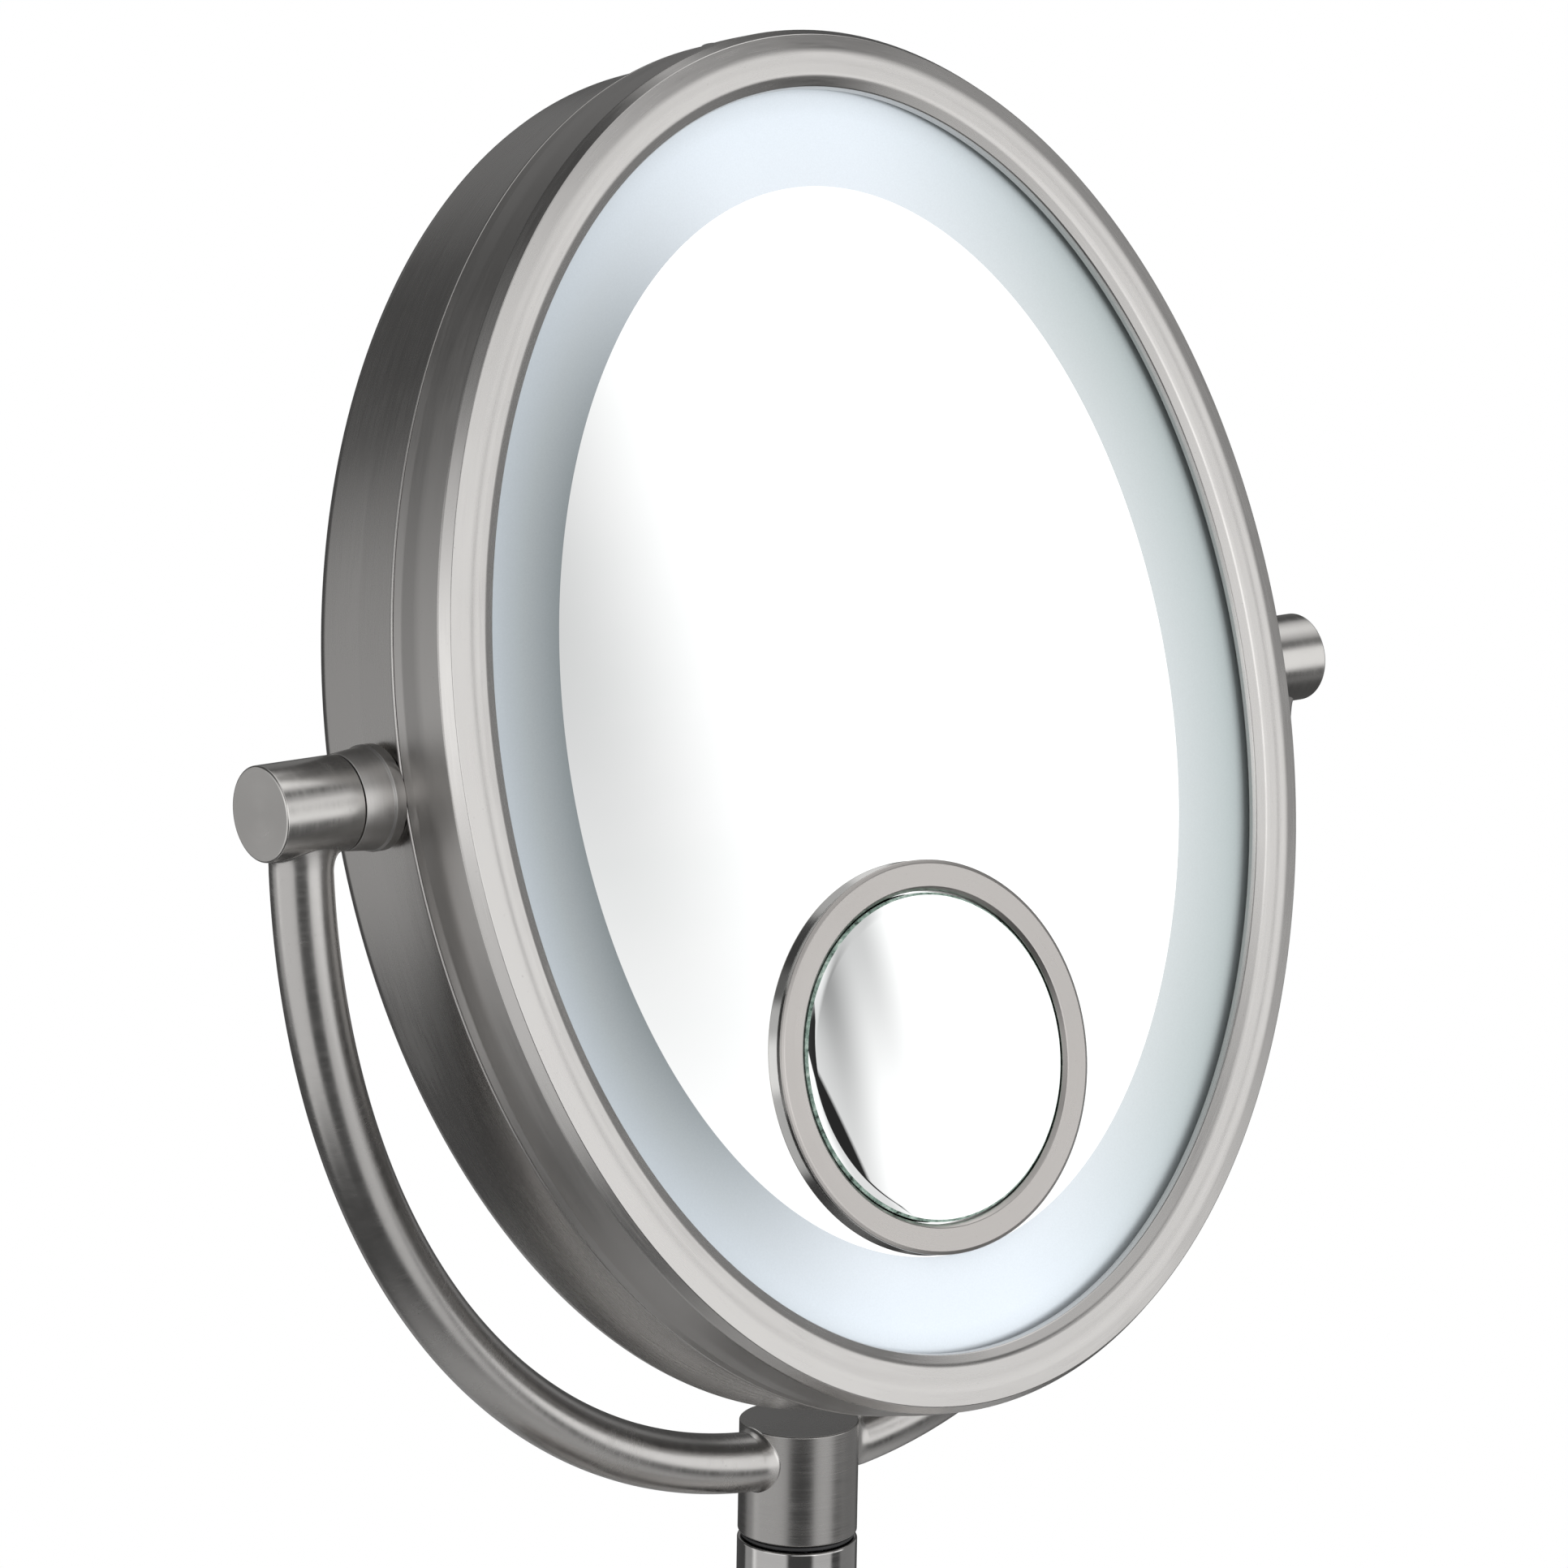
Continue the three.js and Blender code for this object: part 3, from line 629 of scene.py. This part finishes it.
def screw_recess(piece, width, depth, place):
    """Cuts a tapered cross recess into a screw head."""
    work = bmesh.new()
    for turn in (0, math.pi / 2):
        box = bmesh.ops.create_cube(work, size=1)["verts"]
        for vertex in box:
            taper = 0.62 if vertex.co.z < 0 else 1.0
            x, y, z = vertex.co
            vertex.co = (x * width * taper, y * width * 0.2 * taper, z * depth * 2)
        bmesh.ops.rotate(work, verts=box, matrix=Matrix.Rotation(turn, 3, "Z"))
    bmesh.ops.transform(work, verts=work.verts, matrix=place)
    mesh = bpy.data.meshes.new("recess")
    work.to_mesh(mesh)
    work.free()
    tool = bpy.data.objects.new("recess", mesh)
    bpy.context.scene.collection.objects.link(tool)
    modifier = piece.modifiers.new("recess", "BOOLEAN")
    modifier.operation = "DIFFERENCE"
    modifier.solver = "EXACT"
    modifier.use_self = True
    modifier.object = tool
    applied(piece)
    bpy.data.objects.remove(tool)
    bpy.data.meshes.remove(mesh)


def applied(piece):
    """Replaces a piece's mesh by the result of its modifiers."""
    graph = bpy.context.evaluated_depsgraph_get()
    result = bpy.data.meshes.new_from_object(piece.evaluated_get(graph), depsgraph=graph)
    piece.modifiers.clear()
    piece.data = result


def pan_screw(name, node, place, radius, height, length):
    """A pan-head screw of the head, its underside at the origin of its place, pointing down."""
    shank = 1.5 * MM
    corners = [
        (0, -length, 0), (shank, -length, 0.3 * MM), (shank, 0, 0.1 * MM), (radius, 0, 0.25 * MM),
        (radius, height * 0.55, height * 0.5), (radius * 0.55, height, height * 0.6), (0, height, 0),
    ]
    screw = swept(name, circle, rounded(corners, steps=8), False, place, SCREW, 48, 2.0)
    screw_recess(screw, radius * 1.15, height * 0.62, place @ Matrix.Translation((0, 0, height)))
    placed(crisp(screw, 30), "head", node)


def head_screws():
    """Two screws through the drum's wall, above and below, and four in the rear cover."""
    top = HALF_HEIGHT + (drum.x[1] - HALF_WIDTH)
    for name, flip in (("top", 0.0), ("bottom", math.pi)):
        place = HEAD @ Matrix.Rotation(flip, 4, "X") @ Matrix.Translation((0, 0, top))
        pan_screw(f"pan_screw_{name}", f"case_screw_{name}", place, 2.75 * MM, 2.5 * MM, 8 * MM)
    height = 1.9 * MM
    for i in range(1, 5):
        span = Span(f"cover_screw_{i}")
        seat = (sum(span.x) / 2, sum(span.u) / 2, span.depth[0] + height)
        place = FACING @ Matrix.Translation(seat) @ Matrix.Rotation(math.pi, 4, "X")
        pan_screw(f"cover_pan_{i}", f"cover_screw_{i}", place, 3.0 * MM, height, 1.5 * MM)


# ---- trunnions and yoke -------------------------------------------------------------------


def along_trunnion(node):
    """A trunnion piece's nearest and furthest |x| from the middle, and its radius."""
    low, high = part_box(node)
    near, far = sorted((abs(low.x), abs(high.x)))
    return near, far, (high.z - low.z) / 2


def trunnion(name, side):
    """The turned collar on the drum, and the yoke's flat-ended barrel beside it."""
    start, end, radius = along_trunnion(f"trunnion_collar_{name}")
    inner, outer, barrel_radius = along_trunnion(f"barrel_{name}")
    bore, neck, recess = 4.3 * MM, 9.0 * MM, 8.6 * MM
    rim = start + 0.9 * MM
    floor = end - 1 * MM
    corners = [
        (bore, start, 0), (neck, start, 0.2 * MM), (neck, rim, 0.2 * MM),
        (radius, rim, 0.3 * MM), (radius, start + 3.3 * MM, 0.15 * MM),
        (radius - 0.35 * MM, start + 3.7 * MM, 0.1 * MM), (barrel_radius + 0.1 * MM, end, 0.15 * MM),
        (recess, end, 0.2 * MM), (recess, floor, 0), (bore, floor, 0),
    ]
    place = along_x(side, AXIS.z)
    collar = swept(f"turned_collar_{name}", circle, rounded(corners, True), True, place, TURNED, ROUND, 1.5)
    placed(crisp(collar), "head", f"trunnion_collar_{name}")
    inner -= 0.15 * MM
    cap = outer - 5 * MM
    corners = [
        (0, outer, 0), (barrel_radius, outer, 0.45 * MM), (barrel_radius, inner, 0.15 * MM),
        (bore, inner, 0.2 * MM), (bore, cap, 0), (0, cap, 0),
    ]
    barrel = swept(f"trunnion_barrel_{name}", circle, rounded(corners), False, place, BARREL, ROUND, 1.2)
    placed(crisp(barrel), "yoke", f"barrel_{name}")


TUBE_ANGLES = [k / 48 * TURN for k in range(48)]


def yoke_tube(name, side):
    """One arm of the yoke: a bent tube that flares into a weld fillet at the barrel and hub."""
    low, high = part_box(f"yoke_arm_{name}")
    barrel_radius = along_trunnion(f"barrel_{name}")[2]
    hub_radius = turned_size("yoke_hub")[0]
    tube = (high.y - low.y) / 2
    half_width = max(abs(low.x), abs(high.x)) - tube
    drop = AXIS.z - low.z - tube
    # the centre line is a quarter of a superellipse, a little fuller than an ellipse
    power = 2 / 2.08
    steps = 150
    centres = []
    for step in range(steps + 1):
        angle = step / steps * math.pi / 2
        x = half_width * max(math.cos(angle), 0.0) ** power
        centres.append(Vector((side * x, 0, AXIS.z - drop * math.sin(angle) ** power)))
    barrel_weld, hub_weld = 2.6 * MM, 1.0 * MM
    start = next(i for i, c in enumerate(centres) if c.z < AXIS.z - barrel_radius - barrel_weld)
    stop = max(i for i, c in enumerate(centres) if abs(c.x) > hub_radius + 1.2 * MM)
    path = centres[start:stop + 1]
    crossways = Vector((0, 1, 0))
    rings = []
    for i, centre in enumerate(path):
        before, after = path[max(i - 1, 0)], path[min(i + 1, len(path) - 1)]
        along = (after - before).normalized()
        outward = crossways.cross(along).normalized() * -side
        rings.append([
            centre + tube * (math.cos(t) * outward + math.sin(t) * crossways) for t in TUBE_ANGLES
        ])
    top = fillet_to_barrel(path[0], tube, barrel_weld, barrel_radius, side)
    bottom = fillet_to_hub(path[-1], tube, hub_weld, hub_radius, side)
    rings = top + rings + bottom
    vertices = [point for ring in rings for point in ring]
    distance = [0.0]
    for first, second in zip(rings, rings[1:]):
        distance.append(distance[-1] + (second[0] - first[0]).length)
    grain = [(math.cos(t) * 2, math.sin(t) * 2, down) for down in distance for t in TUBE_ANGLES]
    around = len(TUBE_ANGLES)
    faces = []
    loops = []
    for i in range(len(rings) - 1):
        for k in range(around):
            n = (k + 1) % around
            faces.append((i * around + k, i * around + n, (i + 1) * around + n, (i + 1) * around + k))
            u, v = k / around * tube * TURN, (k + 1) / around * tube * TURN
            loops.append(((u, distance[i]), (v, distance[i]), (v, distance[i + 1]), (u, distance[i + 1])))
    arm = finished(f"yoke_tube_{name}", vertices, faces, loops, grain, TUBE)
    placed(crisp(arm, 60), "yoke", f"yoke_arm_{name}")


def fillet_to_barrel(centre, tube, weld, barrel_radius, side):
    """Rings from just inside the barrel's underside down to the plain tube.

    The first ring, with a share below 0, lies deeper inside the barrel. The fillet is fuller on
    the side that faces the mirror head.
    """
    rings = []
    for share in [-0.12] + [i / 9 for i in range(9)]:
        bend = max(share, 0.0) * math.pi / 2
        sunk = 0.4 * MM if share < 0 else 0
        ring = []
        for angle in TUBE_ANGLES:
            inner = max(0.0, -math.cos(angle))
            reach = (0.3 + 0.7 * inner) * weld * (1 - 0.55 * abs(math.sin(angle)))
            radial = tube + reach * (1 - math.sin(bend)) - min(share, 0.0) * reach
            x = centre.x + side * radial * math.cos(angle)
            y = radial * math.sin(angle)
            edge = AXIS.z - math.sqrt(max(barrel_radius ** 2 - y ** 2, 0)) + 0.05 * MM
            ring.append(Vector((x, y, edge + (centre.z - edge) * (1 - math.cos(bend)) + sunk)))
        rings.append(ring)
    return rings


def fillet_to_hub(centre, tube, weld, hub_radius, side):
    """Rings from the plain tube to just inside the hub's round side."""
    rings = []
    for i in range(1, 9):
        bend = i / 8 * math.pi / 2
        radial = tube + weld * (1 - math.cos(bend)) * 0.8
        ring = []
        for angle in TUBE_ANGLES:
            y = radial * math.sin(angle)
            z = centre.z - radial * math.cos(angle)
            wall = math.sqrt(max(hub_radius ** 2 - y ** 2, 0)) - 0.08 * MM
            x = side * (abs(centre.x) + (wall - abs(centre.x)) * math.sin(bend))
            ring.append(Vector((x, y, z)))
        rings.append(ring)
    return rings


def hub_and_post():
    """The yoke's hub, the washer in the seam, the post tube and the ring at its foot."""
    bore = 6.3 * MM
    radius, bottom, top = turned_size("yoke_hub")
    bore_end = top - 7 * MM
    corners = [
        (0, top, 0), (radius, top, 0.35 * MM), (radius, bottom, 0.45 * MM), (bore, bottom, 0.2 * MM),
        (bore, bore_end, 0), (0, bore_end, 0),
    ]
    # the hub takes the darker nickel, which holds painted shade
    hub = swept("hub_collar", circle, rounded(corners), False, Matrix(), SHADED_HUB, ROUND, 1.2)
    placed(crisp(hub), "yoke", "yoke_hub")
    radius, bottom, top = turned_size("lower_post")
    inside = radius - 1.5 * MM
    corners = [
        (inside, bottom, 0.1 * MM), (radius, bottom, 0.2 * MM),
        (radius, top, 0.5 * MM), (inside, top, 0.3 * MM),
    ]
    post = swept("post_tube", circle, rounded(corners, True), True, Matrix(), POLISHED, ROUND, 1.2)
    placed(crisp(post), "base", "lower_post")
    radius, bottom, top = turned_size("swivel_washer")
    corners = [
        (bore, bottom, 0.1 * MM), (radius, bottom, 0.25 * MM),
        (radius, top, 0.25 * MM), (bore, top, 0.1 * MM),
    ]
    washer = swept("seam_washer", circle, rounded(corners, True), True, Matrix(), NYLON, ROUND)
    placed(washer, "base", "swivel_washer")
    radius, bottom, top = turned_size("post_foot_ring")
    inside = 13.1 * MM
    corners = [
        (inside, bottom, 0), (radius, bottom, 0.3 * MM), (radius, bottom + 2.3 * MM, 0.7 * MM),
        (16.6 * MM, bottom + 3.2 * MM, 1.2 * MM), (15.2 * MM, top, 0.8 * MM), (inside, top, 0.3 * MM),
    ]
    ring = swept("foot_ring", circle, rounded(corners, True), True, Matrix(), TURNED, ROUND, 1.2)
    placed(crisp(ring), "base", "post_foot_ring")


# ---- base ---------------------------------------------------------------------------------


def base_shell():
    """The round cover with its raised boss under the post, and the foot pad."""
    radius, bottom, top = turned_size("base_cover")
    deck = turned_size("button_ring")[1] - 0.3 * MM
    wall = 1.2 * MM
    hole = 4 * MM
    corners = [
        (radius - wall, bottom, 0.3 * MM), (radius, bottom, 0.4 * MM), (radius, deck - 3.4 * MM, 2.2 * MM),
        (radius - 4.4 * MM, deck, 3.2 * MM), (31 * MM, deck, 7 * MM), (23.6 * MM, top, 4 * MM),
        (hole, top, 0.2 * MM), (hole, top - wall, 0.2 * MM), (23.2 * MM, top - wall, 3 * MM),
        (30.4 * MM, deck - wall, 6 * MM), (radius - 5 * MM, deck - wall, 3 * MM),
        (radius - wall, deck - 4.4 * MM, 2 * MM),
    ]
    shell = swept("base_shell", circle, rounded(corners, True, 8), True, Matrix(), SATIN, 192, 4.0)
    placed(crisp(shell), "base", "base_cover")
    radius, bottom, top = turned_size("foot_pad")
    corners = [(0, bottom, 0), (radius, bottom, 0.4 * MM), (radius, top, 0.3 * MM), (0, top, 0)]
    pad = swept("foam_foot", circle, rounded(corners), False, Matrix(), RUBBER, ROUND)
    placed(crisp(pad), "base", "foot_pad")


def push_button():
    """The dished button cap, and the ring it sits in."""
    low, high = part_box("power_button")
    place = Matrix.Translation((0, ((low + high) / 2).y, 0))
    radius, bottom, top = turned_size("power_button")
    corners = [
        (0, bottom, 0), (radius, bottom, 0.2 * MM), (radius, top - 0.1 * MM, 0.7 * MM),
        (radius * 0.55, top, 0.6 * MM), (0, top - 0.5 * MM, 0),
    ]
    button = swept("button_cap", circle, rounded(corners, steps=8), False, place, TURNED, 64, 1.0)
    placed(crisp(button), "power_button", "power_button")
    outer, bottom, top = turned_size("button_ring")
    inner = radius + 0.3 * MM
    bottom -= 0.25 * MM
    corners = [
        (inner, bottom, 0), (outer, bottom, 0.3 * MM), (outer - 0.6 * MM, top - 0.3 * MM, 0.6 * MM),
        (inner, top, 0.35 * MM),
    ]
    ring = swept("button_bezel", circle, rounded(corners, True), True, place, POLISHED, 64, 1.0)
    placed(crisp(ring), "base", "button_ring")


def shaded_nodes():
    """The CAD nodes that stay, most of them hidden inside, get the right material."""
    finishes = {
        ZINC: ("base_plate", "base_washer", "base_nut", "tie_rod", "swivel_spigot", "swivel_grub_screw",
               "mirror_backing", "screw_block_top", "screw_block_bottom", "trunnion_pin_left",
               "trunnion_pin_right", "trunnion_nut_left", "trunnion_nut_right"),
        CAST: ("base_weight",),
        PLASTIC: ("power_inlet", "switch_body", "driver_board"),
        NYLON: ("friction_washer_left", "friction_washer_right"),
        OPAL: ("diffuser_ring",),
        PAINT: ("light_tray",),
        BOARD: ("led_board",),
        RUBBER: ("spot_adhesive_pad",),
    }
    for material, names in finishes.items():
        for name in names:
            for slot in frame["nodes"][name].material_slots:
                slot.link = "OBJECT"
                slot.material = material


# ---- stage, light and camera --------------------------------------------------------------


FLOOR_RADIUS = 0.23
FADE_START, FADE_END = 0.11, 0.225


def studio():
    """A small floor disc under the base, and a world whose lights no camera ray sees."""
    rings = [(0, 0), (0.08, 0), (0.16, 0), (FLOOR_RADIUS, 0)]
    floor = swept("floor", circle, rings, False, Matrix(), floor_paint())
    floor.location.z = -0.2 * MM
    world = bpy.data.worlds.new("studio")
    bpy.context.scene.world = world
    world.use_nodes = True
    world.node_tree.nodes.clear()
    sky = Nodes(world.node_tree)
    seen = sky.node("ShaderNodeBackground")
    seen.inputs["Color"].default_value = (1, 1, 1, 1)
    lit = sky.node("ShaderNodeBackground")
    sky.link(softboxes(sky), lit.inputs["Color"])
    mix = sky.node("ShaderNodeMixShader")
    sky.link(sky.node("ShaderNodeLightPath").outputs["Is Camera Ray"], mix.inputs[0])
    sky.link(lit.outputs[0], mix.inputs[1])
    sky.link(seen.outputs[0], mix.inputs[2])
    sky.link(mix.outputs[0], sky.node("ShaderNodeOutputWorld").inputs[0])


# the brightness where no window is, and the share of light the flag takes away
DIM = 0.085
FLAG_DEPTH = 0.97
SOFTBOXES = [
    # azimuth (low, high), softness, elevation (low, high), softness, brightness
    (-6, 52, 9, -9, 19.5, 11, 1.12),
    (-44, -6, 9, 0, 22, 8, 0.95),
    (-100, -64, 8, 0, 34, 8, 0.62),
    (-4, 26, 9, -34, -16, 9, 0.62),
    (-128, -62, 9, -38, 16, 10, 0.72),
    (-152, -128, 8, -22, 8, 9, 0.38),
    (-60, 150, 18, 50, 90, 7, 0.65),
    (66, 116, 14, 42, 64, 9, 0.6),
    (36, 43, 4, 24, 34, 6, 0.38),
    (-128, -62, 9, 26, 50, 9, 0.12),
    (58, 104, 12, -30, 26, 12, 0.22),
    (150, 178, 6, -44, -30, 4, 0.25),
    (142, 172, 10, 12, 34, 8, 0.14),
    (-20, 26, 20, 27, 38, 8, 0.65),
    # two darker gaps between diffusers
    (35.4, 37.2, 2.3, 14, 30, 9, -0.58),
    (33, 34.5, 2.2, 0, 12, 4, -0.45),
]


def softboxes(sky):
    """Soft-edged lit windows in a dim studio, placed by azimuth from the front and elevation.

    A narrow, leaning dark flag stands among them, which only the small domed glass catches.
    """
    axes = sky.node("ShaderNodeSeparateXYZ")
    sky.link(sky.node("ShaderNodeTexCoord").outputs["Generated"], axes.inputs[0])
    x, y, z = axes.outputs
    azimuth = sky.math("DEGREES", sky.math("ARCTAN2", x, sky.math("MULTIPLY", y, -1)))
    elevation = sky.math("DEGREES", sky.math("ARCSINE", z))
    total = DIM
    for low, high, soft, bottom, top, soft_el, level in SOFTBOXES:
        across = window(sky, azimuth, low, high, soft)
        along = window(sky, elevation, bottom, top, soft_el)
        total = sky.math("MULTIPLY_ADD", sky.math("MULTIPLY", across, along), level, total)
    # the flag: two slanted edges, which lean by so many degrees of azimuth per degree of elevation
    right_edge = sky.ranged(sky.math("MULTIPLY_ADD", elevation, 0.316, azimuth), 36.42, 36.57, 1, 0)
    left_edge = sky.ranged(sky.math("MULTIPLY_ADD", elevation, 0.53, azimuth), 36.85, 37.0, 0, 1)
    flag = sky.math("MULTIPLY", sky.math("MULTIPLY", right_edge, left_edge), window(sky, elevation, 1, 12, 2))
    flag = sky.math("MULTIPLY", flag, window(sky, azimuth, 30, 40, 1))
    return sky.math("MULTIPLY", total, sky.math("MULTIPLY_ADD", flag, -FLAG_DEPTH, 1.0))


def window(sky, value, low, high, soft):
    """1 between low and high, fading to 0 over a softness on each side."""
    rise = sky.ranged(value, low - soft, low, 0, 1, "SMOOTHSTEP")
    fall = sky.ranged(value, high, high + soft, 1, 0, "SMOOTHSTEP")
    return sky.math("MULTIPLY", rise, fall)


def floor_paint():
    """Matt light grey that fades out towards the disc's rim."""
    shader = Shader("studio_floor")
    place = shader.node("ShaderNodeTexCoord").outputs["Object"]
    cloud = shader.noise(place, 3.0, 3.0)
    middle = shader.node("ShaderNodeVectorMath", operation="LENGTH")
    shader.link(place, middle.inputs[0])
    shader.set(Base_Color=shader.ramp(cloud, [(0.3, grey(0.76)), (0.7, grey(0.8))]), Roughness=0.9)
    shader.set(Alpha=shader.ranged(middle.outputs["Value"], FADE_START, FADE_END, 1, 0, "SMOOTHSTEP"))
    return shader.material


def area_light(name, place, target, size, power):
    """A rectangular light aimed at a target, which no reflection shows."""
    lamp = bpy.data.lights.new(name, "AREA")
    lamp.energy = power
    lamp.shape = "RECTANGLE"
    lamp.size, lamp.size_y = size
    light = bpy.data.objects.new(name, lamp)
    light.location = place
    light.visible_glossy = False
    light.rotation_euler = (Vector(target) - Vector(place)).to_track_quat("-Z", "Y").to_euler()
    bpy.context.scene.collection.objects.link(light)


def camera():
    """The viewpoint: azimuth and elevation from the front, roll, distance and lens."""
    azimuth, elevation, roll = (math.radians(angle) for angle in (39.3, 12.48, 1.0))
    distance, side, rise = 1.30, 0.00556, 0.0112
    sight = Vector((math.sin(azimuth) * math.cos(elevation), math.cos(azimuth) * math.cos(elevation),
                    -math.sin(elevation)))
    right = Vector((math.cos(azimuth), -math.sin(azimuth), 0))
    up = right.cross(sight)
    place = AXIS - sight * distance - right * side - up * rise
    rolled_right = math.cos(roll) * right + math.sin(roll) * up
    rolled_up = -math.sin(roll) * right + math.cos(roll) * up
    turn = Matrix((rolled_right, rolled_up, -sight)).transposed().to_4x4()
    data = bpy.data.cameras.new("camera")
    data.sensor_width = 36
    data.lens = 144.5
    data.clip_start = 0.01
    view = bpy.data.objects.new("camera", data)
    view.matrix_world = Matrix.Translation(place) @ turn
    bpy.context.scene.collection.objects.link(view)
    bpy.context.scene.camera = view


camera()
head_shell()
head_drum()
domed_cover()
main_glass()
gasket_shade_ring()
spot_mirror()
head_screws()
for arm, way in (("left", -1), ("right", 1)):
    trunnion(arm, way)
    yoke_tube(arm, way)
hub_and_post()
base_shell()
push_button()
shaded_nodes()
studio()
area_light("key", (0.5, -2.0, 0.4), AXIS, (1.4, 0.7), 26)

bpy.context.scene.view_settings.view_transform = "Standard"
